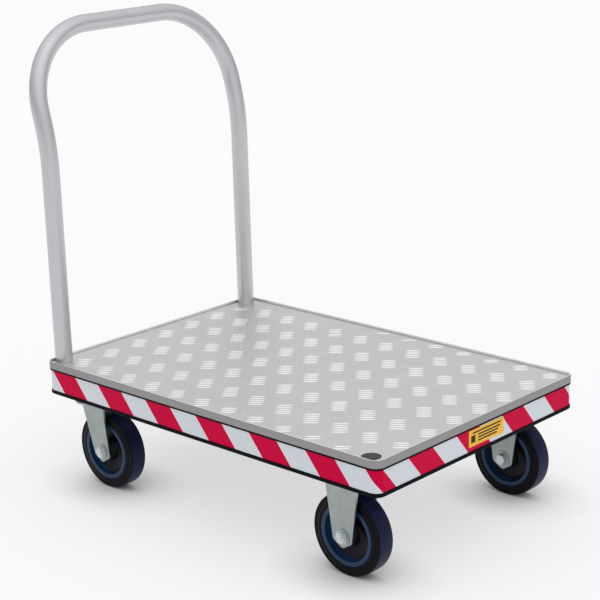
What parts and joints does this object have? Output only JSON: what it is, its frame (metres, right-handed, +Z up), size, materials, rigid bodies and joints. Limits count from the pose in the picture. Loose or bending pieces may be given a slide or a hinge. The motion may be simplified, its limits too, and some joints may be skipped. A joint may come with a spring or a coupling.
{
  "type": "flatbed platform truck",
  "caption": "Flatbed platform truck with an aluminium tread plate deck, wrap-around rubber bumper, bent tube push handle, fixed castors in front and swivel castors at the handle end.",
  "frame": {"origin": "on the floor, under the middle of the overall length and width", "axes": "+X towards the front of the truck, away from the handle, +Y to the pusher's left, +Z up"},
  "size_m": [0.957, 0.6, 0.9483],
  "materials": {
    "edge_aluminium": "satin extruded aluminium",
    "frame_aluminium": "plain mill finish",
    "tread_plate": "bright rolled five bar tread",
    "bumper_rubber": "matt extruded rubber",
    "reflective_tape": "retroreflective film with slanting red and white stripes",
    "rating_label": "printed film with plain dark bars",
    "handle_aluminium": "satin anodised tube",
    "insert_aluminium": "turned",
    "black_plastic": "moulded",
    "fastener_steel": "bright zinc plated",
    "castor_steel": "zinc plated pressing",
    "bearing_steel": "ground",
    "wheel_rim_blue": "moulded nylon",
    "tyre_rubber": "solid elastic rubber"
  },
  "bodies": {
    "truck": {"edge_rim": "edge_aluminium", "rail_left": "frame_aluminium", "rail_right": "frame_aluminium", "rail_front": "frame_aluminium", "rail_rear": "frame_aluminium", "corner_front_left": "frame_aluminium", "corner_front_right": "frame_aluminium", "corner_rear_left": "frame_aluminium", "corner_rear_right": "frame_aluminium", "cross_channel_front_outer": "frame_aluminium", "cross_channel_front_inner": "frame_aluminium", "cross_channel_rear": "frame_aluminium", "deck_stiffener_1": "frame_aluminium", "deck_stiffener_2": "frame_aluminium", "deck_plate": "tread_plate", "bumper_left": "bumper_rubber", "bumper_right": "bumper_rubber", "bumper_front": "bumper_rubber", "bumper_rear": "bumper_rubber", "reflective_tape": "reflective_tape", "rating_label": "rating_label", "handle_tube": "handle_aluminium", "handle_inserts": "insert_aluminium", "corner_plug": "black_plastic", "handle_bolts": "fastener_steel", "castor_bolts": "fastener_steel", "castor_nuts": "fastener_steel", "front_axle_bolts": "fastener_steel", "front_axle_nuts": "fastener_steel", "kingpin_nuts": "fastener_steel", "kingpin_rear_left": "fastener_steel", "kingpin_rear_right": "fastener_steel", "fixed_fork_front_left": "castor_steel", "fixed_fork_front_right": "castor_steel", "swivel_plate_rear_left": "castor_steel", "swivel_plate_rear_right": "castor_steel", "front_axle_sleeves": "bearing_steel"},
    "swivel_rear_left": {"swivel_fork_rear_left": "castor_steel", "swivel_balls_rear_left": "bearing_steel", "rear_left_axle_bolt": "fastener_steel", "rear_left_axle_nut": "fastener_steel", "rear_left_axle_sleeve": "bearing_steel"},
    "swivel_rear_right": {"swivel_fork_rear_right": "castor_steel", "swivel_balls_rear_right": "bearing_steel", "rear_right_axle_bolt": "fastener_steel", "rear_right_axle_nut": "fastener_steel", "rear_right_axle_sleeve": "bearing_steel"},
    "wheel_front_left": {"wheel_rim_front_left": "wheel_rim_blue", "tyre_front_left": "tyre_rubber", "roller_bearing_front_left": "bearing_steel"},
    "wheel_front_right": {"wheel_rim_front_right": "wheel_rim_blue", "tyre_front_right": "tyre_rubber", "roller_bearing_front_right": "bearing_steel"},
    "wheel_rear_left": {"wheel_rim_rear_left": "wheel_rim_blue", "tyre_rear_left": "tyre_rubber", "roller_bearing_rear_left": "bearing_steel"},
    "wheel_rear_right": {"wheel_rim_rear_right": "wheel_rim_blue", "tyre_rear_right": "tyre_rubber", "roller_bearing_rear_right": "bearing_steel"}
  },
  "joints": [
    {"name": "castor_swivel_rear_left", "type": "hinge", "parent": "truck", "child": "swivel_rear_left", "pos_m": [-0.34149, 0.242, 0.18], "axis": [0, 0, 1], "continuous": true},
    {"name": "castor_swivel_rear_right", "type": "hinge", "parent": "truck", "child": "swivel_rear_right", "pos_m": [-0.34149, -0.242, 0.18], "axis": [0, 0, 1], "continuous": true},
    {"name": "wheel_spin_front_left", "type": "hinge", "parent": "truck", "child": "wheel_front_left", "pos_m": [0.36851, 0.242, 0.08], "axis": [0, 1, 0], "continuous": true},
    {"name": "wheel_spin_front_right", "type": "hinge", "parent": "truck", "child": "wheel_front_right", "pos_m": [0.36851, -0.242, 0.08], "axis": [0, 1, 0], "continuous": true},
    {"name": "wheel_spin_rear_left", "type": "hinge", "parent": "swivel_rear_left", "child": "wheel_rear_left", "pos_m": [-0.29149, 0.242, 0.08], "axis": [0, 1, 0], "continuous": true},
    {"name": "wheel_spin_rear_right", "type": "hinge", "parent": "swivel_rear_right", "child": "wheel_rear_right", "pos_m": [-0.29149, -0.242, 0.08], "axis": [0, 1, 0], "continuous": true}
  ]
}
